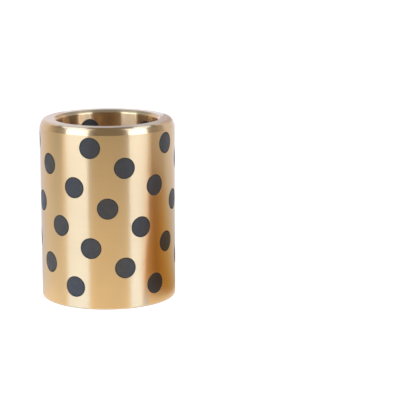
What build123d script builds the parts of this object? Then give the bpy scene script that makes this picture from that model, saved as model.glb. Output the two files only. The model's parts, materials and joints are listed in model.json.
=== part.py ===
from build123d import *
from math import radians, tan
import os

# Graphite plugged bushing: a turned high-strength brass sleeve with solid-lubricant plugs
# bonded into radial through-holes and machined flush with the outside and with the bore.
# Frame: millimetres, +Z along the sleeve's axis, origin at the centre of the lower end face.

# ---------------------------------------------------------------- driving dimensions

# Sleeve
outer_diameter = 60.0      # seats in the housing, press fit
bore_diameter = 45.0       # runs on the shaft
sleeve_length = 80.0       # end face to end face

# Lead-in at the upper end, the end that enters the housing first
lead_in_length = 3.25      # height of the shallow cone, measured from the end face
lead_in_angle = 20.0       # degrees between the cone and the axis
lead_in_round = 2.0        # blend radius between the cone and the end face

# Edge breaks, 45 degrees
heel_chamfer = 0.6         # outside edge of the lower end
bore_chamfer = 1.1         # both mouths of the bore

# Solid-lubricant plugs
plug_diameter = 9.25
adhesive_film = 0.03       # bond line between a plug and its hole, on the radius
plug_rows = 8
plugs_per_row = 5
lower_land = 5.1           # metal between the lower end face and the holes of the first row
upper_land = 0.8           # cylinder left between the holes of the last row and the lead-in
first_plug_angle = -115.9  # degrees from +X to the first plug of the lowest row
row_turn_share = 0.4       # share of the plug spacing by which each row turns on the row below

# ---------------------------------------------------------------- derived values

outer_radius = outer_diameter / 2
bore_radius = bore_diameter / 2
lead_in_setback = lead_in_length * tan(radians(lead_in_angle))
end_corner_radius = outer_radius - lead_in_setback

plug_radius = plug_diameter / 2
hole_radius = plug_radius + adhesive_film
plug_spacing_angle = 360.0 / plugs_per_row
row_turn_angle = -row_turn_share * plug_spacing_angle

first_row_height = lower_land + hole_radius
last_row_height = sleeve_length - lead_in_length - upper_land - hole_radius
row_pitch = (last_row_height - first_row_height) / (plug_rows - 1)


def turned_blank():
    """The sleeve before it is drilled: its half section revolved about the Z axis.

    Going round the section: up the bore, over the upper chamfer and end face, round the
    blend and down the lead-in cone, down the outside, and back over the heel chamfer.
    """
    outline = Polyline(
        (bore_radius, bore_chamfer),
        (bore_radius, sleeve_length - bore_chamfer),
        (bore_radius + bore_chamfer, sleeve_length),
        (end_corner_radius, sleeve_length),
        (outer_radius, sleeve_length - lead_in_length),
        (outer_radius, heel_chamfer),
        (outer_radius - heel_chamfer, 0),
        (bore_radius + bore_chamfer, 0),
        close=True,
    )
    section = make_face(outline)
    end_corner = section.vertices().sort_by_distance((end_corner_radius, sleeve_length))[0]
    section = fillet(end_corner, lead_in_round)
    return revolve(Plane.XZ * section, Axis.Z)


def radial_rod(radius, row, place):
    """A round rod from the sleeve's axis out through one side of its wall.

    Rows count upwards from 0 and places count round a row from 0. The rod is twice as long
    as the outside radius, so it always leaves the wall.
    """
    height = first_row_height + row * row_pitch
    angle = first_plug_angle + row * row_turn_angle + place * plug_spacing_angle
    upright = Cylinder(radius, outer_diameter, align=(Align.CENTER, Align.CENTER, Align.MIN))
    return Pos(0, 0, height) * Rot(0, 0, angle) * Rot(0, 90, 0) * upright


def plug_places():
    """Every (row, place) of the staggered pattern, lowest row first."""
    return [(row, place) for row in range(plug_rows) for place in range(plugs_per_row)]


def drilled_sleeve(blank):
    """The blank with every plug hole drilled through its wall."""
    drills = [radial_rod(hole_radius, row, place) for row, place in plug_places()]
    return blank - drills


def graphite_plug(blank, row, place):
    """One plug: a rod trimmed by the finished sleeve's own section.

    The plugs go in before the last cut, so the outside and the bore trim them flush.
    """
    return blank & radial_rod(plug_radius, row, place)


def write_node(shape, node):
    """Write one piece to parts/ under its node name."""
    solid = shape.solid()
    solid.label = node
    export_step(solid, f"parts/{node}.step")


os.makedirs("parts", exist_ok=True)
sleeve_blank = turned_blank()
write_node(drilled_sleeve(sleeve_blank), "brass_sleeve")
for row, place in plug_places():
    plug = graphite_plug(sleeve_blank, row, place)
    write_node(plug, f"graphite_plug_row{row + 1}_{place + 1}")
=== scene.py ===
"""Graphite plugged bushing: the finish of its brass sleeve and forty plugs, and the stage it stands on.

The sleeve and the plugs are surfaces worked out from the frame's own sizes. They lie on the frame's solids
and add what is too fine for them: rounded edges, the turning lay, the tone of the metal and the graphite.
"""

import json
from math import cos, pi, radians, sin, tan

import bpy
import numpy as np
from bpy.props import FloatProperty, FloatVectorProperty, PointerProperty
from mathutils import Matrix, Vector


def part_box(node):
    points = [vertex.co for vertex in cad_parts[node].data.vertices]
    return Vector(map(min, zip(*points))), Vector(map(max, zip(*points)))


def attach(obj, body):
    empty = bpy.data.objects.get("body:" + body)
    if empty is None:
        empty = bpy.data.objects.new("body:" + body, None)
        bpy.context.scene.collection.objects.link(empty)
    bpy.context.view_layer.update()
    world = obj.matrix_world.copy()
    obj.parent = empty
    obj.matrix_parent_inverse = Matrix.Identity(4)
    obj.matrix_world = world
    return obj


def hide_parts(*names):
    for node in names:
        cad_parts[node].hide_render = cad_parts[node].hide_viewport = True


bl_info = {
    "name": "Graphite Plugged Bushing",
    "version": (1, 0, 0),
    "blender": (4, 5, 0),
    "location": "3D View > Sidebar > Bushing",
    "description": "A turned brass bushing with flush graphite plugs, on a white studio table",
    "category": "Object",
}

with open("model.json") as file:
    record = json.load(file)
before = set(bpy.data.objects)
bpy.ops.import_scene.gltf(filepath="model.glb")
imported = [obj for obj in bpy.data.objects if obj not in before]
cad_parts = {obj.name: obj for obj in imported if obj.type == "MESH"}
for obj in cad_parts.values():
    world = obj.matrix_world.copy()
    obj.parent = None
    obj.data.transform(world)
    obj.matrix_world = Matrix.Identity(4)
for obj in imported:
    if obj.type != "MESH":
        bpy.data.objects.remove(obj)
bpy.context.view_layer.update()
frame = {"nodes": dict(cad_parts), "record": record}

MM = 0.001
BODY = "root"
SLEEVE_NODE = "brass_sleeve"
PLUG_NODE = "graphite_plug_row{row}_{place}"
LAY_MAP = "turning_lay"  # the UV map: u runs along the turned profile, v round the sleeve
# The point attribute. On the sleeve it is 0 on the outside, 1 on an end face and -1 in the bore. On a plug it
# is the distance from the plug's axis as a share of its radius.
ZONE = "zone"


# ---------------------------------------------------------------- sizes read from the frame


def mount_radius(name):
    """The radius that the frame states for one of its mounts, in metres."""
    mount = next(m for m in frame["record"]["mounts"] if m["name"] == name)
    return mount["dims"]["r_mm"] * MM


def foot_radius():
    """The radius of the foot that the sleeve stands on, its small chamfer apart."""
    return mount_radius("housing_seat")


def plug_rows():
    """How many rows of plugs the frame has."""
    row = 0
    while PLUG_NODE.format(row=row + 1, place=1) in frame["nodes"]:
        row += 1
    return row


def plugs_per_row():
    """How many plugs the frame has in its lowest row."""
    place = 0
    while PLUG_NODE.format(row=1, place=place + 1) in frame["nodes"]:
        place += 1
    return place


def plug_height(row):
    """The height of the middle of a row of plugs. Rows count upwards from 1."""
    low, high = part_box(PLUG_NODE.format(row=row, place=1))
    return (low.z + high.z) / 2


def plug_diameter():
    """The diameter of the plugs, which is the height of any plug's box."""
    low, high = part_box(PLUG_NODE.format(row=1, place=1))
    return high.z - low.z


def linear(code):
    """An sRGB hex colour as linear RGB."""
    srgb = np.array([int(code[i : i + 2], 16) for i in (1, 3, 5)]) / 255
    return tuple(np.where(srgb <= 0.04045, srgb / 12.92, ((srgb + 0.055) / 1.055) ** 2.4))


# ---------------------------------------------------------------- settings


def number(name, description, default):
    """A plain number that a user may change."""
    return FloatProperty(name=name, description=description, default=default)


def length(name, description, default):
    """A length in metres that a user may change."""
    return FloatProperty(name=name, description=description, default=default, unit="LENGTH", precision=5)


def angle(name, description, default):
    """An angle that a user may change, given here in degrees."""
    return FloatProperty(name=name, description=description, default=radians(default), unit="ROTATION")


def colour(name, description, code):
    """A colour that a user may change, given here as an sRGB hex value."""
    return FloatVectorProperty(
        name=name, description=description, default=linear(code), subtype="COLOR", min=0.0, max=1.0
    )


class SleeveSettings(bpy.types.PropertyGroup):
    """Sizes and colours of the turned sleeve."""

    outer_radius: length("Outside radius", "Radius of the seat in the housing", mount_radius("housing_seat"))
    bore_radius: length("Bore radius", "Radius of the running bore", mount_radius("shaft_bore"))
    height: length("Length", "From end face to end face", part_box(SLEEVE_NODE)[1].z)
    lead_in_length: length("Lead-in length", "Height of the cone at the upper end", 3.25 * MM)
    lead_in_angle: angle("Lead-in angle", "Between the cone and the axis", 20.0)
    lead_in_round: length("Lead-in round", "Blend between the cone and the end face", 2.0 * MM)
    heel_chamfer: length("Heel chamfer", "Outside edge of the lower end, 45 degrees", 0.6 * MM)
    bore_chamfer: length("Bore chamfer", "Both mouths of the bore, 45 degrees", 1.1 * MM)
    mouth_round: length("Mouth round", "Blend between a mouth's chamfer and the bore", 1.5 * MM)
    edge_round: length("Edge round", "Burnished radius left on each turned edge", 0.15 * MM)
    hole_clearance: length("Bond line", "Gap between a plug and its hole, on the radius", 0.03 * MM)
    hole_edge_round: length("Hole edge round", "Radius on the rim of each plug hole", 0.03 * MM)
    light_brass: colour("Light brass", "The metal where the lay is finest", "#F1CE9C")
    deep_brass: colour("Deep brass", "The metal in the deeper turning marks", "#EFCC9A")
    # The faced ends are the same metal: their paler colour is a painted highlight.
    faced_highlight_brass: colour("Faced brass", "The paler metal of the faced ends", "#F0D3A6")


class PlugSettings(bpy.types.PropertyGroup):
    """Pattern, sizes and colours of the solid-lubricant plugs."""

    first_angle: angle("First plug", "Angle of the first plug of the lowest row, from +X", -115.9)
    row_turn_share: number("Row turn", "Share of the plug spacing by which a row turns on the row below", 0.4)
    edge_round: length("Edge round", "Radius worn on the rim of each plug", 0.05 * MM)
    slate: colour("Slate", "Graphite where the cut smeared it smooth", "#2E2B29")
    soot: colour("Soot", "Graphite in its open pores", "#201D1B")
    # Umber is the colour that the outer rim of each plug is darkened towards.
    umber: colour("Umber", "The glue line and the graphite that it soaked", "#221A10")


class StageSettings(bpy.types.PropertyGroup):
    """Camera, table and softboxes."""

    camera_x: length("Camera X", "Camera to the right of the sleeve's axis", 41.17 * MM)
    camera_y: length("Camera Y", "Camera in front of the sleeve's axis", -693.9 * MM)
    camera_z: length("Camera Z", "Camera above the table", 190.07 * MM)
    camera_pitch: angle("Camera pitch", "How far the camera looks down", 12.0)
    focal_pixels: number("Focal length", "In widths of one of 400 pixels", 1583.07)
    table_glow: colour("Table glow", "The white of the lit table", "#FFFAFA")
    table_radiance: number("Table radiance", "Brightness of the table's glow", 1.15)
    softbox_tint: colour("Softbox tint", "The daylight of the softboxes' lower part", "#C9DEFF")


# ---------------------------------------------------------------- shapes as arrays

COLUMNS_PER_STEP = 12  # grid columns between two neighbouring columns of the plug pattern
CELLS_PER_PITCH = 14  # grid rows between two rows of plugs
CELLS_TO_EDGE = (14, 9)  # grid rows below the lowest row of plugs, and above the highest
BLOCK = 7  # half the side of the square of cells that a hole takes the place of
LAP = 8 * BLOCK  # cells on the border of that square, and points round a hole or a plug
REACH = (12, 9)  # half the sides, in columns and rows, of the cells that a hole pulls on
RIM_STEPS = 3  # segments across a rounded edge
LEAD_IN_STEPS = 12  # segments across the blend of the lead-in
MOUTH_STEPS = 8  # segments across the blend of a mouth
FACE_RINGS = 6  # rings of cells across the face of a plug
LAP_ANGLES = 2 * pi * np.arange(LAP) / LAP  # the angles t of the points round a hole or a plug


def corner_arc(before, corner, after, radius, steps):
    """The arc that rounds one corner of an outline, as points and outward normals, each in (r, z).

    The outline runs anticlockwise and turns by T at the corner. The arc touches both runs at
    radius * tan(T / 2) from the corner. Its normal swings from one run's normal to the other's in equal
    steps, and each point is the arc's centre plus the radius times the normal.
    """
    arrive = (corner - before) / np.linalg.norm(corner - before)
    leave = (after - corner) / np.linalg.norm(after - corner)
    turn = np.arctan2(arrive[0] * leave[1] - arrive[1] * leave[0], arrive @ leave)
    swing = np.arctan2(-arrive[0], arrive[1]) + turn * np.linspace(0, 1, steps + 1)
    normals = np.stack([np.cos(swing), np.sin(swing)], axis=1)
    centre = corner - arrive * radius * np.tan(turn / 2) - radius * normals[0]
    return centre + radius * normals, normals


def square_wave(turn):
    """The cosine's square cousin: one coordinate of a point that walks round the border of a hole's block.

    Its distance from the start of the lap, folded at half a lap, is taken from 2 * BLOCK and held within the
    half side. A quarter of a lap later the same wave is the point's other coordinate.
    """
    folded = np.abs((turn + LAP // 2) % LAP - LAP // 2)
    return np.clip(2 * BLOCK - folded, -BLOCK, BLOCK)


def square_angle(x, y):
    """The angle that goes with a point on a square's border: equal steps along it give equal angles."""
    wide = np.abs(x) >= np.abs(y)
    flat = pi / 4 * y / np.where(x == 0, 1, x) + pi * (x < 0)
    tall = pi / 2 - pi / 4 * x / np.where(y == 0, 1, y) + pi * (y < 0)
    return np.where(wide, flat, tall)


def drilled_wall(radius, levels, hole_radius, holes, columns):
    """A cylinder unrolled to a grid of angle and height, whose cells make room for the round holes.

    holes are the (row, column) of the grid where each hole's middle lies. Round it, a square block of cells
    is left out. Its border moves onto the hole's outline, angle + asin(R cos t / radius) and
    height + R sin t, and the cells beyond follow it by a share that falls from 1 at the block to 0 at the
    reach. Returns how far each grid point is turned and lifted, and which cells stay.
    """
    rows = len(levels) - 1
    step = 2 * pi / columns
    turned = np.zeros((rows + 1, columns))
    lifted = np.zeros((rows + 1, columns))
    kept = np.ones((rows, columns), bool)
    row, column = np.meshgrid(np.arange(rows + 1), np.arange(columns), indexing="ij")
    for hole_row, hole_column in holes:
        up = row - hole_row
        along = (column - hole_column + columns // 2) % columns - columns // 2
        near_up = np.clip(up, -BLOCK, BLOCK)
        near_along = np.clip(along, -BLOCK, BLOCK)
        share = np.maximum(
            (np.abs(along) - BLOCK) / (REACH[0] - BLOCK), (np.abs(up) - BLOCK) / (REACH[1] - BLOCK)
        )
        pull = np.clip(1 - np.maximum(share, 0), 0, 1)
        t = square_angle(near_along.astype(float), near_up.astype(float))
        to_angle = np.arcsin(hole_radius * np.cos(t) / radius) - near_along * step
        to_height = hole_radius * np.sin(t) - (levels[hole_row + near_up] - levels[hole_row])
        turned += pull * to_angle
        lifted += pull * to_height
        inside = (up >= -BLOCK) & (up < BLOCK) & (along >= -BLOCK) & (along < BLOCK)
        kept &= ~inside[:-1]
    return turned, lifted, kept


def cells(grid):
    """The four corners of every cell of an open grid, in order round the cell."""
    return np.stack([grid[:-1, :-1], grid[:-1, 1:], grid[1:, 1:], grid[1:, :-1]], axis=2)


def grid_faces(rows, around=False):
    """Quads between neighbouring rows of a grid of vertex numbers that closes on itself sideways.

    With around set, the last row also joins the first.
    """
    beside = np.roll(rows, -1, axis=1)
    above = np.roll(rows, -1, axis=0)
    above_beside = np.roll(beside, -1, axis=0)
    faces = np.stack([rows, beside, above_beside, above], axis=-1)
    return faces if around else faces[:-1]


def wall_point(surface_radius, hole_radius, depth, bore):
    """Rings of points on a hole's wall, before the hole is turned to its place: it runs out along X.

    Across the hole a point is R cos t, and up it is R sin t. Along the hole it starts on the cylinder, at the
    square root of radius squared less (R cos t) squared, and goes into the metal by the depth: outwards from
    the bore, and inwards from the outside.
    """
    across = hole_radius * np.cos(LAP_ANGLES)
    along = np.sqrt(surface_radius**2 - across**2) + (depth if bore else -depth)
    return np.stack([along, across, hole_radius * np.sin(LAP_ANGLES)], axis=-1)


def rim_normal(surface_radius, hole_radius, swing, bore, away):
    """The normals on a rounded rim, which swing from the cylinder's normal to the hole wall's.

    The cylinder's normal is (along, across, 0) / radius, and the wall's points to the hole's axis, or away
    from it on a plug. They are mixed by the cosine and the sine of the swing.
    """
    t, swing = np.broadcast_arrays(LAP_ANGLES, swing)
    across = hole_radius * np.cos(t)
    along = np.sqrt(surface_radius**2 - across**2)
    face = np.stack([along, across, np.zeros_like(t)], axis=-1) / surface_radius * (-1 if bore else 1)
    side = np.stack([np.zeros_like(t), np.cos(t), np.sin(t)], axis=-1) * (1 if away else -1)
    normal = np.cos(swing)[..., None] * face + np.sin(swing)[..., None] * side
    return normal / np.linalg.norm(normal, axis=-1, keepdims=True)


def turned_about_z(points, turn):
    """Points turned about the Z axis."""
    spin = np.array([[cos(turn), sin(turn), 0], [-sin(turn), cos(turn), 0], [0, 0, 1]])
    return points @ spin


def new_piece(name, points, normals, faces, lays, zone, material):
    """A mesh object from arrays: points, normals, the corner numbers of each face, the lay map's (u, v) of
    each corner, and each point's zone. Points that no face uses are left out."""
    sides = np.concatenate([np.full(len(f), f.shape[1]) for f in faces])
    corners = np.concatenate([f.ravel() for f in faces])
    lay = np.concatenate([corner_lays.reshape(-1, 2) for corner_lays in lays])
    used, corners = np.unique(corners, return_inverse=True)
    mesh = bpy.data.meshes.new(name)
    mesh.vertices.add(len(used))
    mesh.vertices.foreach_set("co", points[used].ravel())
    mesh.loops.add(len(corners))
    mesh.loops.foreach_set("vertex_index", corners.ravel())
    mesh.polygons.add(len(sides))
    mesh.polygons.foreach_set("loop_start", np.cumsum(sides) - sides)
    mesh.update(calc_edges=True)
    mesh.uv_layers.new(name=LAY_MAP).uv.foreach_set("vector", lay.ravel())
    mesh.attributes.new(ZONE, "FLOAT", "POINT").data.foreach_set("value", zone[used])
    if mesh.validate(verbose=True):
        raise RuntimeError(f"{name} has faces that Blender can't keep")
    mesh.shade_smooth()
    mesh.normals_split_custom_set_from_vertices(normals[used])
    mesh.materials.append(material)
    piece = bpy.data.objects.new(name, mesh)
    bpy.context.scene.collection.objects.link(piece)
    return piece


def plug_pattern(plugs):
    """Every plug as (row, place, angle, column). The column counts the pattern's own steps of angle."""
    per_row = plugs_per_row()
    step = 2 * pi / per_row / per_row
    steps_per_row = round(-plugs.row_turn_share * per_row)
    pattern = []
    for row in range(1, plug_rows() + 1):
        for place in range(1, per_row + 1):
            column = (row - 1) * steps_per_row + (place - 1) * per_row
            pattern.append((row, place, plugs.first_angle + column * step, column))
    return pattern


# ---------------------------------------------------------------- the sleeve

OUTSIDE_CORNER = 1  # the corner of the section after which the outside cylinder runs up
BORE_CORNER = 5  # the corner after which the bore runs down


def sleeve_corners(s):
    """The rounded corners of the sleeve's half section, anticlockwise from the heel, each as the points and
    normals of its arc in (r, z)."""
    setback = s.lead_in_length * tan(s.lead_in_angle)
    edge = (s.edge_round, RIM_STEPS)
    lead_in = (s.lead_in_round, LEAD_IN_STEPS)
    mouth = (s.mouth_round, MOUTH_STEPS)
    corners = [
        (s.outer_radius - s.heel_chamfer, 0, edge),
        (s.outer_radius, s.heel_chamfer, edge),
        (s.outer_radius, s.height - s.lead_in_length, edge),
        (s.outer_radius - setback, s.height, lead_in),
        (s.bore_radius + s.bore_chamfer, s.height, edge),
        (s.bore_radius, s.height - s.bore_chamfer, mouth),
        (s.bore_radius, s.bore_chamfer, mouth),
        (s.bore_radius + s.bore_chamfer, 0, edge),
    ]
    places = np.array([(radius, height) for radius, height, _ in corners])
    befores = np.roll(places, 1, axis=0)
    afters = np.roll(places, -1, axis=0)
    return [
        corner_arc(before, place, after, *rounding)
        for before, place, after, (_, _, rounding) in zip(befores, places, afters, corners)
    ]


def wall_levels(low, high):
    """The heights of a drilled wall's grid rows: even cells from its lower edge to the lowest row of plugs,
    from there to the highest, and from there to its upper edge. Rows of plugs are CELLS_PER_PITCH apart."""
    rows = plug_rows()
    below = np.linspace(low, plug_height(1), CELLS_TO_EDGE[0] + 1)
    among = np.linspace(plug_height(1), plug_height(rows), CELLS_PER_PITCH * (rows - 1) + 1)
    above = np.linspace(plug_height(rows), high, CELLS_TO_EDGE[1] + 1)
    return np.concatenate([below, among[1:], above[1:]])


def section_rings(arcs, holes, rim_radius, columns):
    """The rings of the section, from the heel round to the heel: one for each point of a corner's arc, and
    between the arcs the rows of the two drilled walls' grids.

    Returns the rings' points and normals in (r, z), how far each ring's points are turned and lifted from
    their even places, and which cells stay. With them go the numbers of the rings at the lower edge of the
    outside wall and of the bore wall.
    """
    points, normals, turned, lifted, kept = [], [], [], [], []
    lower_edges = []
    for i, (arc, arc_normals) in enumerate(arcs):
        points.append(arc)
        normals.append(arc_normals)
        turned.append(np.zeros((len(arc), columns)))
        lifted.append(np.zeros((len(arc), columns)))
        kept.append(np.ones((len(arc), columns), bool))
        if i not in (OUTSIDE_CORNER, BORE_CORNER):
            continue
        bore = i == BORE_CORNER
        radius, start = arc[-1]
        end = arcs[i + 1][0][0, 1]
        levels = wall_levels(min(start, end), max(start, end))
        wall = drilled_wall(radius, levels, rim_radius, holes, columns)
        first = sum(map(len, points)) - 1
        lower_edges.append(first + len(levels) - 1 if bore else first)
        order = -1 if bore else 1
        levels = levels[::order]
        turn, lift, stay = [part[::order] for part in wall]
        # The wall's first and last rows are the ends of the arcs on either side of it.
        turned[-1][-1] += turn[0]
        lifted[-1][-1] += lift[0]
        kept[-1][-1] &= stay[0]
        points.append(np.stack([np.full(len(levels), radius), levels], axis=1)[1:-1])
        normals.append(np.repeat(arc_normals[-1:], len(levels) - 2, axis=0))
        turned.append(turn[1:-1])
        lifted.append(lift[1:-1])
        kept.append(stay[1:])
    return [np.concatenate(parts) for parts in (points, normals, turned, lifted, kept)], lower_edges


def ring_lays(outline, lift, share):
    """The lay map of every cell between two rings, at the cell's four corners.

    u is the way along the section, moved by the lift, and v is the share of a lap. Both run on past the
    seams, where the last ring meets the first and the last column meets the first.
    """
    steps = np.linalg.norm(np.diff(outline, axis=0, append=outline[:1]), axis=1)
    travel = np.concatenate([[0], np.cumsum(steps)[:-1]])[:, None] + lift
    lay = np.stack([travel, share], axis=-1)
    beside = np.roll(lay, -1, axis=1)
    beside[:, -1, 1] += 1
    above, above_beside = np.roll(lay, -1, axis=0), np.roll(beside, -1, axis=0)
    above[-1, :, 0] += np.sum(steps)
    above_beside[-1, :, 0] += np.sum(steps)
    return np.stack([lay, beside, above_beside, above], axis=-2)


def hole_wall(s, hole_radius):
    """The wall of a hole that runs out along X, as rings of points and normals from its outside rim to its
    bore rim. Its first and last ring, on the two cylinders, are left to the sleeve's grid."""
    swing = np.linspace(0, pi / 2, RIM_STEPS + 1)[1:, None]
    rim = hole_radius + s.hole_edge_round * (1 - np.sin(swing))
    depth = s.hole_edge_round * (1 - np.cos(swing))
    points, normals = [], []
    for surface, bore, order in ((s.outer_radius, False, 1), (s.bore_radius, True, -1)):
        points.append(wall_point(surface, rim, depth, bore)[::order])
        normals.append(rim_normal(surface, rim, swing, bore, False)[::order])
    return np.concatenate(points), np.concatenate(normals)


def make_sleeve(s, plugs, material):
    """The turned sleeve: its rounded half section carried round the Z axis, with a grid that makes room for
    the plug holes on the outside and in the bore, and the holes' walls between them.

    A ring's points are at (r cos a, r sin a, z), where a is the even angle plus the turn, and z has the lift.
    """
    columns = COLUMNS_PER_STEP * plugs_per_row() ** 2
    pattern = plug_pattern(plugs)
    hole_radius = plug_diameter() / 2 + s.hole_clearance
    holes = [
        (CELLS_TO_EDGE[0] + (row - 1) * CELLS_PER_PITCH, column * COLUMNS_PER_STEP % columns)
        for row, _, _, column in pattern
    ]
    rings, lower_edges = section_rings(sleeve_corners(s), holes, hole_radius + s.hole_edge_round, columns)
    outline, slopes, turned, lifted, kept = rings
    radius, height = outline[:, :1], outline[:, 1:]
    out, up = slopes[:, :1], slopes[:, 1:]
    at = plugs.first_angle + 2 * pi / columns * np.arange(columns) + turned
    ring_points = np.stack([radius * np.cos(at), radius * np.sin(at), height + lifted], axis=-1)
    ring_normals = np.stack([out * np.cos(at), out * np.sin(at), up + 0 * at], axis=-1)
    ring_zone = np.broadcast_to(np.abs(up) - np.maximum(-out, 0), at.shape)
    numbers = np.arange(at.size).reshape(at.shape)
    points, normals = [ring_points.reshape(-1, 3)], [ring_normals.reshape(-1, 3)]
    faces = [grid_faces(numbers, around=True)[kept]]
    lays = [ring_lays(outline, lifted * np.sign(out), (at - plugs.first_angle) / (2 * pi))[kept]]

    # On a hole's wall, u runs down the hole and v round it.
    wall_points, wall_normals = hole_wall(s, hole_radius)
    own = np.arange(wall_points.shape[0] * LAP).reshape(-1, LAP)
    down = -np.array([s.outer_radius, *np.linalg.norm(wall_points[:, 0, :2], axis=1), s.bore_radius])
    round_hole = np.linspace(0, 1, LAP + 1)
    wall_lay = cells(np.stack(np.meshgrid(down, round_hole, indexing="ij"), axis=-1)).reshape(-1, 4, 2)
    lap = np.arange(LAP)
    rim_along, rim_up = square_wave(lap), square_wave(lap - LAP // 4)
    outside_low, bore_low = lower_edges
    for i, ((plug_row, _, turn, _), (row, column)) in enumerate(zip(pattern, holes)):
        sideways = (column + rim_along) % columns
        outside_rim = numbers[outside_low + row + rim_up, sideways]
        bore_rim = numbers[bore_low - row - rim_up, sideways]
        wall = np.concatenate([[outside_rim], numbers.size + i * own.size + own, [bore_rim]])
        placed = turned_about_z(wall_points, turn) + (0, 0, plug_height(plug_row))
        points.append(placed.reshape(-1, 3))
        normals.append(turned_about_z(wall_normals, turn).reshape(-1, 3))
        faces.append(grid_faces(wall).reshape(-1, 4))
        lays.append(wall_lay)
    zone = np.concatenate([ring_zone.ravel(), np.zeros(len(pattern) * own.size)])
    return new_piece("sleeve", np.concatenate(points), np.concatenate(normals), faces, lays, zone, material)


# ---------------------------------------------------------------- the plugs


def make_plug(name, s, plugs, height, turn, material):
    """One plug: rings of a round bar that lies along a radius, trimmed flush by the outside and by the bore.

    A ring of radius R has its points at R cos t across and R sin t up, and along the bar where the cylinder
    is, at the square root of radius squared less (R cos t) squared. Both rims are rounded, and a point in the
    middle closes each face.
    """
    plug_radius = plug_diameter() / 2
    flat_radius = plug_radius - plugs.edge_round
    swing = np.concatenate([np.zeros(FACE_RINGS), np.linspace(0, pi / 2, RIM_STEPS + 1)[1:]])[:, None]
    flat_rings = flat_radius * np.linspace(0, 1, FACE_RINGS + 1)[1:]
    rims = flat_radius + plugs.edge_round * np.sin(swing[FACE_RINGS:, 0])
    radius = np.concatenate([flat_rings, rims])[:, None]
    depth = plugs.edge_round * (1 - np.cos(swing))
    ring_points, ring_normals = [], []
    for surface, bore, order in ((s.outer_radius, False, 1), (s.bore_radius, True, -1)):
        ring_points.append(wall_point(surface, radius, depth, bore)[::order].reshape(-1, 3))
        ring_normals.append(rim_normal(surface, radius, swing, bore, True)[::order].reshape(-1, 3))
    middles = [[s.outer_radius, 0, 0], [s.bore_radius, 0, 0]]
    laid = np.concatenate([*ring_points, middles])
    laid_normals = np.concatenate([*ring_normals, [[1, 0, 0], [-1, 0, 0]]])

    numbers = np.arange(2 * len(radius) * LAP).reshape(-1, LAP)
    first, last = numbers[0], numbers[-1]
    outer_middle, inner_middle = numbers.size, numbers.size + 1
    outer_fan = np.stack([np.full(LAP, outer_middle), first, np.roll(first, -1)], axis=1)
    inner_fan = np.stack([np.full(LAP, inner_middle), np.roll(last, -1), last], axis=1)
    # The rings run from the outside inwards, so that side by side they are walked the other way round.
    faces = [grid_faces(numbers).reshape(-1, 4)[:, ::-1], outer_fan, inner_fan]

    points = turned_about_z(laid, turn) + (0, 0, height)
    lay = np.stack([points[:, 2], laid[:, 1] / (2 * pi * s.outer_radius)], axis=1)
    lays = [lay[f] for f in faces]
    ring_zone = np.concatenate([radius, radius[::-1]])[:, 0] / plug_radius
    zone = np.concatenate([np.repeat(ring_zone, LAP), [0, 0]])
    return new_piece(name, points, turned_about_z(laid_normals, turn), faces, lays, zone, material)


# ---------------------------------------------------------------- materials

MOST_NOISE = (0.3, 0.7)  # the range that most of a noise's values lie in
MOST_OF_TWO = (0.7, 1.2)  # and of two noises added up
UNLIT = {"Base Color": (0, 0, 0, 1), "Specular IOR Level": 0.0}  # what a thing that only glows starts from


def add_node(tree, kind, settings=None, inputs=None):
    """Adds a node with its settings. Each of its inputs is a value, or the output that it is linked from."""
    node = tree.nodes.new(kind)
    for name, value in (settings or {}).items():
        setattr(node, name, value)
    for socket, value in (inputs or {}).items():
        if isinstance(value, bpy.types.NodeSocket):
            tree.links.new(value, node.inputs[socket])
        else:
            node.inputs[socket].default_value = value
    return node


def new_material(name):
    """An empty material, and its node tree."""
    material = bpy.data.materials.new(name)
    material.use_nodes = True
    material.node_tree.nodes.clear()
    return material, material.node_tree


def finish_material(tree, inputs):
    """Adds the shader with its inputs, and the output."""
    shader = add_node(tree, "ShaderNodeBsdfPrincipled", inputs=inputs)
    add_node(tree, "ShaderNodeOutputMaterial", inputs={"Surface": shader.outputs["BSDF"]})


def object_point(tree):
    """The shaded point in the object's own coordinates."""
    return add_node(tree, "ShaderNodeTexCoord").outputs["Object"]


def zone_value(tree):
    """The shaded point's zone."""
    return add_node(tree, "ShaderNodeAttribute", {"attribute_name": ZONE}).outputs["Fac"]


def noise(tree, vector, inputs):
    """A cloudy pattern from 0 to 1."""
    return add_node(tree, "ShaderNodeTexNoise", inputs={"Vector": vector, **inputs}).outputs["Fac"]


def maths(tree, operation, first, second):
    """A sum, a product or the like of two values."""
    return add_node(tree, "ShaderNodeMath", {"operation": operation}, {0: first, 1: second}).outputs["Value"]


def vector_maths(tree, operation, first, second=None):
    """The node that adds or multiplies two vectors, or measures one."""
    inputs = {0: first} if second is None else {0: first, 1: second}
    return add_node(tree, "ShaderNodeVectorMath", {"operation": operation}, inputs)


def remap(tree, value, before, after=(0.0, 1.0)):
    """A value carried from one range to another, and held at its ends."""
    ranges = {"From Min": before[0], "From Max": before[1], "To Min": after[0], "To Max": after[1]}
    return add_node(tree, "ShaderNodeMapRange", inputs={"Value": value, **ranges}).outputs["Result"]


def mix(tree, kind, factor, first, second):
    """From the first to the second as the factor goes from 0 to 1. The kind is "RGBA" or "FLOAT"."""
    inputs = {"Factor": factor, "A": first, "B": second}
    return add_node(tree, "ShaderNodeMix", {"data_type": kind}, inputs).outputs["Result"]


def bump(tree, height, strength, depth):
    """The shader's normal over a relief of that depth."""
    inputs = {"Height": height, "Strength": strength, "Distance": depth}
    return add_node(tree, "ShaderNodeBump", inputs=inputs).outputs["Normal"]


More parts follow.
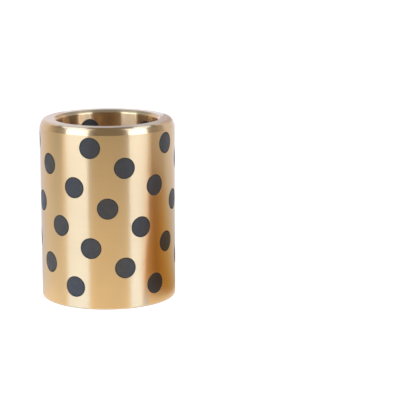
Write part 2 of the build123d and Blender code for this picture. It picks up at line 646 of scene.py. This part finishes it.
def lay_vector(tree, spacing, drift):
    """The vector of a pattern of turning marks: one unit for each spacing along the profile, and one for each
    drift in X and Y, so that the marks change slowly round the sleeve."""
    lay = add_node(tree, "ShaderNodeUVMap", {"uv_map": LAY_MAP}).outputs["UV"]
    travel = add_node(tree, "ShaderNodeSeparateXYZ", inputs={"Vector": lay}).outputs["X"]
    marks = add_node(tree, "ShaderNodeCombineXYZ", inputs={"Z": maths(tree, "MULTIPLY", travel, 1 / spacing)})
    slow = vector_maths(tree, "MULTIPLY", object_point(tree), (1 / drift, 1 / drift, 0))
    return vector_maths(tree, "ADD", slow.outputs["Vector"], marks.outputs["Vector"]).outputs["Vector"]


def turned_brass(s):
    """High-strength cast brass, fine-turned and satin polished.

    The tool leaves a lay of fine marks round the axis, so a light is smeared along the profile and stays
    sharp round the sleeve: tall streaks with clean sides. The marks show as faint rings. The faced ends are
    painted paler, a highlight laid into their colour; their finer cut is real.
    """
    material, tree = new_material("turned_high_strength_brass")
    # A finishing feed of about 0.15 mm is too fine to show, so the marks are drawn 0.9 mm apart.
    marks = noise(tree, lay_vector(tree, 0.9 * MM, 40 * MM), {"Scale": 1.0, "Detail": 3.0})
    # Clouds of handling and of uneven polish, about 14 mm across.
    clouds = noise(tree, object_point(tree), {"Scale": 1 / (14 * MM), "Detail": 2.0})
    zone = zone_value(tree)
    shade = remap(tree, marks, MOST_NOISE)
    metal = mix(tree, "RGBA", shade, (*s.deep_brass, 1), (*s.light_brass, 1))
    # Where the section faces along the axis, the colour goes to the paler faced brass: a painted highlight,
    # as the ends are the same metal.
    tone = mix(tree, "RGBA", zone, metal, (*s.faced_highlight_brass, 1))

    # Typical satin brass is 0.3 to 0.4 rough, and the marks and clouds make it a little uneven.
    marked = remap(tree, marks, MOST_NOISE, (0.295, 0.305))
    clouded = remap(tree, clouds, MOST_NOISE, (-0.015, 0.015))
    outside = maths(tree, "ADD", marked, clouded)
    # The faced ends are cut finer, at about 0.18, and the bore is between the two, at about 0.25.
    faced = mix(tree, "FLOAT", zone, outside, 0.18)
    roughness = mix(tree, "FLOAT", remap(tree, zone, (0.0, -1.0)), faced, 0.25)

    lay = add_node(tree, "ShaderNodeTangent", {"direction_type": "UV_MAP", "uv_map": LAY_MAP})
    finish_material(
        tree,
        {
            "Base Color": tone,
            "Metallic": 1.0,
            "Roughness": roughness,
            "Anisotropic": 1.0,
            "Normal": bump(tree, marks, 0.04, 0.004 * MM),
            "Tangent": lay.outputs["Tangent"],
        },
    )
    return material


def pressed_graphite(plugs):
    """Graphite pressed with a binder, cut flush: dull slate grey, a little smeared, with darker pores."""
    material, tree = new_material("pressed_graphite")
    place = object_point(tree)
    # Pores and grains of about 0.35 mm, which is as coarse as they need to be to show.
    grain = noise(tree, place, {"Scale": 1 / (0.35 * MM), "Detail": 3.0, "Roughness": 0.6})
    # Smears of about 3 mm.
    smear = noise(tree, place, {"Scale": 1 / (3 * MM), "Detail": 1.0})
    both = maths(tree, "ADD", grain, smear)
    tone = mix(tree, "RGBA", remap(tree, both, MOST_OF_TWO), (*plugs.soot, 1), (*plugs.slate, 1))
    roughness = remap(tree, both, MOST_OF_TWO, (0.52, 0.38))
    # The outer 0.4 mm of each plug is browner and darker, and has no sheen.
    rim_band = remap(tree, zone_value(tree), (0.88, 0.94))
    darkened_rim = mix(tree, "RGBA", rim_band, tone, (*plugs.umber, 1))
    dulled = mix(tree, "FLOAT", rim_band, roughness, 0.85)
    # Carbon reflects more than a plain binder would, so the IOR is above the usual 1.5.
    relief = bump(tree, grain, 0.3, 0.01 * MM)
    finish_material(tree, {"Base Color": darkened_rim, "Roughness": dulled, "IOR": 1.68, "Normal": relief})
    return material


def lit_acrylic(stage):
    """White acrylic of a light table: matte, and lit from below, so that it shows hardly a shadow.

    The glow is turned down under the sleeve's foot: a painted line of shade where the two meet.
    """
    material, tree = new_material("lit_white_acrylic")
    flat = vector_maths(tree, "MULTIPLY", object_point(tree), (1, 1, 0))
    distance = vector_maths(tree, "LENGTH", flat.outputs["Vector"])
    # Painted contact shade: the glow falls to 0.3 from just outside the foot's edge inwards.
    edge = (foot_radius() - 0.8 * MM, foot_radius() + 0.2 * MM)
    glow = remap(tree, distance.outputs["Value"], edge, (0.3, stage.table_radiance))
    finish_material(
        tree,
        {
            "Base Color": (0.3, 0.3, 0.3, 1),
            "Roughness": 0.9,
            "Specular IOR Level": 0.0,
            "Emission Color": (*stage.table_glow, 1),
            "Emission Strength": glow,
        },
    )
    return material


def plain_glow(name, tint, radiance):
    """A surface that only glows, at one radiance all over. At 0 it is a black card."""
    material, tree = new_material(name)
    finish_material(tree, {**UNLIT, "Emission Color": (*tint, 1), "Emission Strength": radiance})
    return material


def ramp_glow(name, axis, stops):
    """A surface that only glows. Its radiance runs through the stops (place, radiance) along one axis.

    Along "X" or "Y" a place is in metres. Along "azimuth" it is in degrees from the back of the sleeve
    towards +X, so that the front is at 180.
    """
    material, tree = new_material(name)
    parts = add_node(tree, "ShaderNodeSeparateXYZ", inputs={"Vector": object_point(tree)}).outputs
    places = np.array([place for place, _ in stops])
    if axis == "azimuth":
        along = maths(tree, "ARCTAN2", parts["X"], parts["Y"])
        places = np.radians(places)
    else:
        along = parts[axis]
    low, high = places[0], places[-1]
    ramp = add_node(tree, "ShaderNodeValToRGB", inputs={"Fac": remap(tree, along, (low, high))})
    elements = ramp.color_ramp.elements
    elements.remove(elements[-1])
    top = max(max(radiance) for _, radiance in stops)
    for i, (place, (_, radiance)) in enumerate(zip(places, stops)):
        share = (place - low) / (high - low)
        element = elements[0] if i == 0 else elements.new(share)
        element.position = share
        element.color = (*(value / top for value in radiance), 1)
    finish_material(tree, {**UNLIT, "Emission Color": ramp.outputs["Color"], "Emission Strength": top})
    return material


# ---------------------------------------------------------------- the stage
#
# Lengths are in metres and azimuths in degrees from the front towards +X, if nothing else is said. Radiances
# are linear, because they may be over 1. The cards and cloths are there for the brass to mirror, and unless
# they say otherwise only glossy rays see them.

PICTURE_PIXELS = 400  # the width of the picture that the focal length is measured in
GLOSSY = ("glossy",)
TABLE_RADIUS = 3.0
TABLE_RINGS = 7
TABLE_POINTS = 48  # points round each ring of the table
SKIRT_POINTS = 61  # points along each edge of a bent card
SOFTBOX_DISTANCE = 0.9
SOFTBOXES = {"left": (-50.7, 20.3), "right": (57.6, 17.4)}  # the azimuth, and half the width in degrees
# The tiers of a softbox, as (name, low edge, high edge, radiance). The middle one is the hot spot round the
# lamp: it makes the streaks on the sleeve and in its bore.
SOFTBOX_TIERS = (("low", 0.0, 0.24, 1.2), ("mid", 0.24, 0.4, 8.8), ("high", 0.4, 2.0, 1.8))
UPPER_TINT = (0.62, 0.74, 0.98)  # of the upper two tiers

# Sheets of softbox cloth overhead. They light the end face and the round of the lead-in.
ROOF_TINT = (0.58, 0.70, 1.0)
ROOF_RADIANCE = 1.95
ROOFS = {
    "left": ((-0.56, -0.82, 1.0), (-1.41, -0.25, 1.0), (-0.50, 0.75, 1.0), (-0.19, 0.5, 1.0)),
    "right": ((0.70, -0.72, 1.0), (1.36, -0.19, 1.0), (0.42, 0.75, 1.0), (0.20, 0.6, 1.0)),
}

# Strips on the table that carry the softboxes' streaks down to the foot, where a glossy table would mirror
# the softboxes. A strip lies between two lines, (azimuth where it leaves the foot, azimuth it heads for).
STRIP_LINES = {"left": ((-33.7, -72.2), (-13.5, -31.0)), "right": ((21.7, 40.9), (39.0, 76.2))}
STRIP_TINT = (0.59, 0.755, 1.06)
STRIP_TIERS = (("near", 0.0, 0.13, 1.4), ("far", 0.13, 0.88, 0.5))  # (name, start, end, radiance)

WALL_DISTANCE = 0.3  # of the walls that close the set
FLAG_DISTANCE = 0.29

# The cloth over the mouth, pale at its sides and grey in the middle, for the far chamfer: X, and radiance.
MOUTH_SHADE = (
    (-0.030, (0.62, 0.80, 1.10)),
    (-0.014, (0.57, 0.71, 0.91)),
    (-0.006, (0.28, 0.34, 0.47)),
    (0.008, (0.28, 0.34, 0.47)),
    (0.016, (0.64, 0.82, 1.12)),
    (0.030, (0.64, 0.82, 1.12)),
)

# The walls of the set, cool at the back and dim at the sides: azimuth from the back, and radiance.
COOL_WALLS = (
    (-105, (0.37, 0.35, 0.31)),
    (-90, (0.38, 0.37, 0.32)),
    (-68, (0.66, 0.61, 0.53)),
    (-55, (0.80, 0.76, 0.78)),
    (-32, (0.74, 0.80, 1.02)),
    (-23, (0.88, 1.00, 1.25)),
    (-10, (1.00, 1.10, 1.30)),
    (0, (0.97, 1.03, 1.18)),
    (15, (0.90, 0.96, 1.12)),
    (30, (0.78, 0.86, 1.05)),
    (55, (0.74, 0.76, 0.84)),
    (64, (0.66, 0.66, 0.70)),
    (72, (0.42, 0.40, 0.40)),
    (102, (0.30, 0.27, 0.24)),
)

# The upper part of the back wall, with a dimmer seam in the middle: azimuth from the back, and radiance.
DIM_CLOTH = (
    (-62, (0.74, 0.72, 0.84)),
    (-12, (0.80, 0.80, 0.95)),
    (-5, (0.80, 0.80, 0.95)),
    (5, (0.50, 0.44, 0.46)),
    (12, (0.50, 0.44, 0.46)),
    (62, (0.74, 0.72, 0.84)),
)

# The table round the foot, warm in front and cool behind: azimuth from the back, and radiance.
FLOOR_GLOW = (
    (-180, (1.24, 1.14, 0.95)),
    (-150, (1.22, 1.14, 0.97)),
    (-123, (1.07, 1.07, 1.04)),
    (-106, (1.06, 1.02, 0.98)),
    (-95, (0.92, 0.94, 0.94)),
    (-85, (0.87, 0.90, 0.93)),
    (-69, (0.82, 0.84, 0.88)),
    (-51, (0.67, 0.76, 0.95)),
    (-32, (0.70, 0.78, 1.00)),
    (-23, (0.85, 0.98, 1.20)),
    (-10, (1.00, 1.10, 1.26)),
    (0, (0.97, 1.03, 1.14)),
    (15, (0.90, 0.93, 1.00)),
    (30, (0.78, 0.81, 0.90)),
    (55, (0.72, 0.74, 0.80)),
    (75, (0.85, 0.85, 0.85)),
    (110, (1.10, 1.06, 0.97)),
    (180, (1.24, 1.14, 0.95)),
)

# A card that leans beside the sleeve in place of a brass neighbour, brown in front and pale behind: its four
# corners, and its glow as Y and radiance. It gives the sleeve's right side the deep brown.
NEIGHBOUR = ((0.034, -0.038, 0), (0.034, 0.06, 0), (0.072, 0.06, 0.046), (0.072, -0.042, 0.046))
NEIGHBOUR_GLOW = (
    (-0.042, (0.75, 0.48, 0.20)),
    (-0.037, (0.62, 0.34, 0.10)),
    (-0.032, (0.50, 0.26, 0.07)),
    (-0.028, (0.43, 0.22, 0.05)),
    (-0.019, (0.34, 0.16, 0.03)),
    (-0.012, (0.40, 0.21, 0.04)),
    (-0.005, (0.47, 0.27, 0.07)),
    (0.000, (0.50, 0.33, 0.14)),
    (0.008, (0.52, 0.43, 0.26)),
    (0.018, (0.58, 0.53, 0.50)),
    (0.030, (0.62, 0.62, 0.68)),
    (0.060, (0.65, 0.72, 0.85)),
)


def make_table(stage):
    """The table: a disc as a grid of angle and distance, each ring twice as wide as the last."""
    rings = TABLE_RADIUS / 2.0 ** np.arange(TABLE_RINGS)[::-1]
    around = 2 * pi * np.arange(TABLE_POINTS) / TABLE_POINTS
    points = np.stack(
        np.broadcast_arrays(rings[:, None] * np.cos(around), rings[:, None] * np.sin(around), 0.0), axis=-1
    )
    numbers = np.arange(points.shape[0] * points.shape[1]).reshape(points.shape[:2])
    quads = grid_faces(numbers).reshape(-1, 4)[:, ::-1]
    mesh = bpy.data.meshes.new("table_top")
    mesh.from_pydata(points.reshape(-1, 3), [], [*quads.tolist(), numbers[0].tolist()])
    mesh.materials.append(lit_acrylic(stage))
    table = bpy.data.objects.new("table_top", mesh)
    bpy.context.scene.collection.objects.link(table)


def make_card(name, points, material, seen_by):
    """A card or cloth of the stage: a grid of points that only these kinds of rays see."""
    points = np.asarray(points)
    numbers = np.arange(points.shape[0] * points.shape[1]).reshape(points.shape[:2])
    mesh = bpy.data.meshes.new(name)
    mesh.from_pydata(points.reshape(-1, 3), [], cells(numbers).reshape(-1, 4).tolist())
    mesh.materials.append(material)
    card = bpy.data.objects.new(name, mesh)
    for ray in ("camera", "diffuse", "glossy", "transmission", "shadow"):
        setattr(card, f"visible_{ray}", ray in seen_by)
    bpy.context.scene.collection.objects.link(card)


def make_panel(name, corners, material, seen_by=GLOSSY):
    """A flat card with four corners, in order round its edge."""
    first, second, third, fourth = corners
    make_card(name, [[first, second], [fourth, third]], material, seen_by)


def make_band(name, span, edges, material, seen_by=GLOSSY, points=SKIRT_POINTS):
    """A card bent round the sleeve's axis between two azimuths. Its two edges are (radius, height)."""
    at = np.radians(np.linspace(*span, points))
    rows = [
        np.stack([radius * np.sin(at), -radius * np.cos(at), np.full(points, height)], axis=-1)
        for radius, height in edges
    ]
    make_card(name, rows, material, seen_by)


def make_skirt(name, span, distance, low, high, material, seen_by=GLOSSY):
    """A band that stands upright."""
    make_band(name, span, ((distance, low), (distance, high)), material, seen_by)


def add_softbox(name, azimuth, half_width, low, high, radiance, tint):
    """An upright rectangular softbox that faces the sleeve's axis.

    half_width is half the angle that it fills as the sleeve sees it. An area light gives off its power over
    pi and its area.
    """
    light = bpy.data.lights.new(name, "AREA")
    light.shape = "RECTANGLE"
    light.size = 2 * SOFTBOX_DISTANCE * tan(radians(half_width))
    light.size_y = high - low
    light.energy = pi * light.size * light.size_y * radiance
    light.color = tint
    lamp = bpy.data.objects.new(name, light)
    at = radians(azimuth)
    lamp.location = (SOFTBOX_DISTANCE * sin(at), -SOFTBOX_DISTANCE * cos(at), (low + high) / 2)
    lamp.rotation_euler = (pi / 2, 0, at)
    lamp.visible_camera = False
    bpy.context.scene.collection.objects.link(lamp)


def add_softboxes(stage):
    """Both softboxes in their tiers, and the cloths overhead."""
    for side, (azimuth, half_width) in SOFTBOXES.items():
        for tier, low, high, radiance in SOFTBOX_TIERS:
            tint = stage.softbox_tint if tier == "low" else UPPER_TINT
            add_softbox(f"{side}_softbox_{tier}", azimuth, half_width, low, high, radiance, tint)
    cloth = plain_glow("softbox_cloth", ROOF_TINT, ROOF_RADIANCE)
    for side, corners in ROOFS.items():
        make_panel(f"{side}_roof", corners, cloth)


def strip_point(line, reach):
    """The point of a strip's edge that lies that far along it from the foot, just over the table."""
    foot = foot_radius()
    leaves, heads = np.radians(line)
    return foot * sin(leaves) + reach * sin(heads), -foot * cos(leaves) - reach * cos(heads), 0.2 * MM


def add_strips():
    """The strips on the table that carry the softboxes' streaks down to the foot."""
    cloths = {tier: plain_glow(f"{tier}_cloth", STRIP_TINT, radiance) for tier, _, _, radiance in STRIP_TIERS}
    for side, (first, second) in STRIP_LINES.items():
        for tier, start, end, _ in STRIP_TIERS:
            ends = ((first, start), (first, end), (second, end), (second, start))
            make_panel(f"{side}_{tier}_strip", [strip_point(*at) for at in ends], cloths[tier])


def add_cards():
    """The flags, cloths and walls that the sleeve mirrors, and the white backdrop that the camera sees."""
    # Black felt in front: the dark middle of the sleeve, between its two streaks.
    black = plain_glow("black_felt", (0, 0, 0), 0.0)
    make_skirt("black_skirt", (-28.0, 38.0), WALL_DISTANCE, 0.0, 0.08, black)
    make_skirt("black_flag", (-20.0, 31.0), FLAG_DISTANCE, 0.0, 0.14, black)
    # Small cloths close to the mouth: the bright line of its far edge, and the tones of its far chamfer.
    rim_cloth = plain_glow("rim_cloth", (1.1, 1.3, 1.7), 1.0)
    make_skirt("rim_strip", (140.0, 215.0), 0.038, 0.0805, 0.0835, rim_cloth)
    shade = ramp_glow("mouth_shade", "X", MOUTH_SHADE)
    left, right, near, far, above = -0.03, 0.03, 0.004, 0.034, 0.098
    mouth_corners = ((left, near, above), (left, far, above), (right, far, above), (right, near, above))
    make_panel("mouth_shade", mouth_corners, shade)

    floor = ramp_glow("floor_glow", "azimuth", FLOOR_GLOW)
    floor_edges = ((foot_radius() + 0.3 * MM, 0.1 * MM), (WALL_DISTANCE, 0.1 * MM))
    make_band("floor_ring", (0.0, 360.0), floor_edges, floor, points=2 * SKIRT_POINTS - 1)
    walls = ramp_glow("cool_walls", "azimuth", COOL_WALLS)
    dim = ramp_glow("dim_cloth", "azimuth", DIM_CLOTH)
    make_skirt("back_wall", (118.0, 242.0), WALL_DISTANCE, 0.0, 0.11, walls)
    make_skirt("back_wall_dim", (118.0, 242.0), WALL_DISTANCE, 0.11, 0.35, dim)
    make_skirt("left_wall", (242.0, 285.0), WALL_DISTANCE, 0.0, 0.19, walls)
    make_skirt("right_wall", (78.0, 118.0), WALL_DISTANCE, 0.0, 0.19, walls)

    # The brass mirrors the neighbour's glow, and the plugs see it black.
    glow = ramp_glow("neighbour_card", "Y", NEIGHBOUR_GLOW)
    make_panel("neighbour_card", NEIGHBOUR, glow, ("glossy", "shadow"))
    make_panel("neighbour_shade", NEIGHBOUR, black, ("diffuse",))
    white = plain_glow("white_cloth", (1, 1, 1), 1.2)
    make_skirt("backdrop", (0.0, 360.0), 2.9, 0.0, 2.0, white, ("camera",))


def set_room(scene):
    """The dim warm room outside the set, and the view transform that shows its light unchanged."""
    world = bpy.data.worlds.new("room")
    world.use_nodes = True
    world.node_tree.nodes["Background"].inputs["Color"].default_value = (0.22, 0.20, 0.185, 1)
    scene.world = world
    scene.view_settings.view_transform = "Standard"


def add_camera(scene, stage):
    """The camera, a little above the mouth and far off, so that the sides stay nearly upright."""
    lens = bpy.data.cameras.new("camera")
    lens.sensor_width = 36.0
    lens.lens = stage.focal_pixels / PICTURE_PIXELS * lens.sensor_width
    lens.clip_end = 100.0
    camera = bpy.data.objects.new("camera", lens)
    camera.location = (stage.camera_x, stage.camera_y, stage.camera_z)
    camera.rotation_euler = (pi / 2 - stage.camera_pitch, 0, 0)
    scene.collection.objects.link(camera)
    scene.camera = camera


# ---------------------------------------------------------------- operators


def finish_piece(piece, node):
    """Fastens a finished piece to the frame in place of its node."""
    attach(piece, BODY)
    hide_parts(node)


class BUSHING_OT_turn_sleeve(bpy.types.Operator):
    """Turn the brass sleeve, with its lead-in, edges and plug holes"""

    bl_idname = "bushing.turn_sleeve"
    bl_label = "Turn Sleeve"

    def execute(self, context):
        settings = context.scene.bushing_sleeve
        sleeve = make_sleeve(settings, context.scene.bushing_plugs, turned_brass(settings))
        finish_piece(sleeve, SLEEVE_NODE)
        return {"FINISHED"}


class BUSHING_OT_press_plugs(bpy.types.Operator):
    """Set the graphite plugs in their holes and trim them flush"""

    bl_idname = "bushing.press_plugs"
    bl_label = "Press Plugs"

    def execute(self, context):
        sleeve, plugs = context.scene.bushing_sleeve, context.scene.bushing_plugs
        graphite = pressed_graphite(plugs)
        for row, place, turn, _ in plug_pattern(plugs):
            name = f"plug_row{row}_{place}"
            plug = make_plug(name, sleeve, plugs, plug_height(row), turn, graphite)
            finish_piece(plug, PLUG_NODE.format(row=row, place=place))
        return {"FINISHED"}


class BUSHING_OT_set_stage(bpy.types.Operator):
    """Set the table, the softboxes, the cards and the camera"""

    bl_idname = "bushing.set_stage"
    bl_label = "Set Stage"

    def execute(self, context):
        stage = context.scene.bushing_stage
        make_table(stage)
        add_softboxes(stage)
        add_strips()
        add_cards()
        set_room(context.scene)
        add_camera(context.scene, stage)
        return {"FINISHED"}


class BUSHING_PT_build(bpy.types.Panel):
    """Build the bushing"""

    bl_idname = "BUSHING_PT_build"
    bl_label = "Bushing"
    bl_space_type = "VIEW_3D"
    bl_region_type = "UI"
    bl_category = "Bushing"

    def draw(self, context):
        for title, settings in (
            ("Sleeve", context.scene.bushing_sleeve),
            ("Plugs", context.scene.bushing_plugs),
            ("Stage", context.scene.bushing_stage),
        ):
            box = self.layout.box()
            box.label(text=title)
            for name in settings.__annotations__:
                box.prop(settings, name)
        for operator in OPERATORS:
            self.layout.operator(operator.bl_idname)


OPERATORS = (BUSHING_OT_turn_sleeve, BUSHING_OT_press_plugs, BUSHING_OT_set_stage)
CLASSES = (SleeveSettings, PlugSettings, StageSettings, *OPERATORS, BUSHING_PT_build)


def register():
    """Makes the settings, the operators and the panel known to Blender."""
    for item in CLASSES:
        bpy.utils.register_class(item)
    bpy.types.Scene.bushing_sleeve = PointerProperty(type=SleeveSettings)
    bpy.types.Scene.bushing_plugs = PointerProperty(type=PlugSettings)
    bpy.types.Scene.bushing_stage = PointerProperty(type=StageSettings)


def unregister():
    """Takes them out again, the last one first."""
    del bpy.types.Scene.bushing_stage
    del bpy.types.Scene.bushing_plugs
    del bpy.types.Scene.bushing_sleeve
    for item in reversed(CLASSES):
        bpy.utils.unregister_class(item)


def main():
    register()
    bpy.ops.bushing.turn_sleeve()
    bpy.ops.bushing.press_plugs()
    bpy.ops.bushing.set_stage()


if __name__ == "__main__":
    main()
